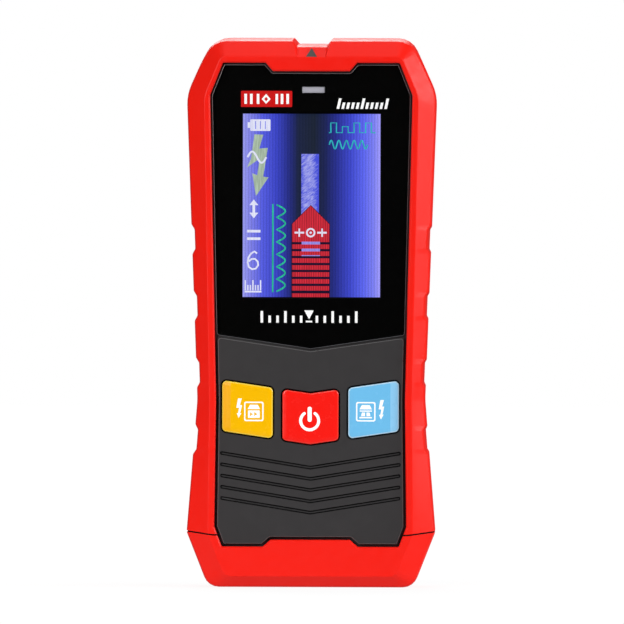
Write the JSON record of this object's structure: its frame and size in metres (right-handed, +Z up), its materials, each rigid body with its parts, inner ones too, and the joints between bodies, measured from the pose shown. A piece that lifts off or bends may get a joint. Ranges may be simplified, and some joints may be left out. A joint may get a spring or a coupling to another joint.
{
  "type": "stud finder",
  "caption": "Handheld wall scanner with a waisted rubber bumper, colour display, three sprung keys, chevron grooves, a marking notch and a hinged battery door.",
  "frame": {"origin": "middle of the foot, halfway through the thickness", "axes": "+Z up along the body from the foot to the marking notch, -Y out of the display, +X to the right seen from the front"},
  "size_m": [0.0666, 0.027, 0.1466],
  "materials": {
    "housing": "fine spark-eroded matt ABS, dark grey",
    "bumper": "satin soft-touch elastomer, bright red",
    "marker": "matt grey inlay",
    "lens": "polished acrylic, printed black behind",
    "lcd": "colour display glass, lit from behind",
    "backlight": "white diffuser",
    "light_pipe": "frosted translucent acrylic",
    "led": "moulded LED body",
    "foam": "closed-cell foam",
    "steel": "zinc plated",
    "flex": "polyimide film",
    "ivory_plastic": "natural nylon",
    "circuit_board": "green solder mask",
    "chip": "black epoxy moulding",
    "copper": "bare and enamelled copper",
    "battery_can": "printed steel can",
    "vinyl": "black vinyl",
    "lead": "stranded copper in coloured PVC",
    "felt": "short black flock",
    "label": "plain silver polyester, no print",
    "key_yellow": "glossy moulded key",
    "key_red": "glossy moulded key",
    "key_blue": "glossy moulded key"
  },
  "bodies": {
    "case": {"front_housing": "housing", "rear_housing": "housing", "bumper_upper": "bumper", "bumper_lower": "bumper", "marker_arrow": "marker", "display_lens": "lens", "lens_gasket": "foam", "display_seal": "foam", "display_panel": "lcd", "display_backlight": "backlight", "display_frame": "steel", "display_flex": "flex", "flex_connector": "ivory_plastic", "indicator_light_pipe": "light_pipe", "indicator_led": "led", "main_board": "circuit_board", "board_chips": "chip", "board_screws": "steel", "buzzer": "chip", "yellow_key_switch": "chip", "power_key_switch": "chip", "blue_key_switch": "chip", "sensor_board": "circuit_board", "sensor_plates": "copper", "coil_former": "ivory_plastic", "coil_winding": "copper", "board_header": "chip", "board_spacers": "ivory_plastic", "battery": "battery_can", "battery_terminals": "steel", "battery_snap": "vinyl", "battery_leads": "lead", "battery_pad": "foam", "case_screws": "steel", "felt_strips": "felt", "rating_label": "label"},
    "door": {"battery_door": "housing", "door_felt_pad": "felt"},
    "yellow_key": {"yellow_key": "key_yellow", "yellow_plunger": "ivory_plastic"},
    "power_key": {"power_key": "key_red", "power_plunger": "ivory_plastic"},
    "blue_key": {"blue_key": "key_blue", "blue_plunger": "ivory_plastic"}
  },
  "joints": [
    {"name": "yellow_key_press", "type": "slide", "parent": "case", "child": "yellow_key", "axis": [0, 1, 0], "range_m": [0, 0.0005], "stiffness_N_per_m": 1500, "springref_m": -0.0003},
    {"name": "power_key_press", "type": "slide", "parent": "case", "child": "power_key", "axis": [0, 1, 0], "range_m": [0, 0.0005], "stiffness_N_per_m": 1500, "springref_m": -0.0003},
    {"name": "blue_key_press", "type": "slide", "parent": "case", "child": "blue_key", "axis": [0, 1, 0], "range_m": [0, 0.0005], "stiffness_N_per_m": 1500, "springref_m": -0.0003},
    {"name": "battery_door_hinge", "type": "hinge", "parent": "case", "child": "door", "pos_m": [0, 0.0114, 0.0066], "axis": [-1, 0, 0], "range_deg": [0, 90]}
  ]
}
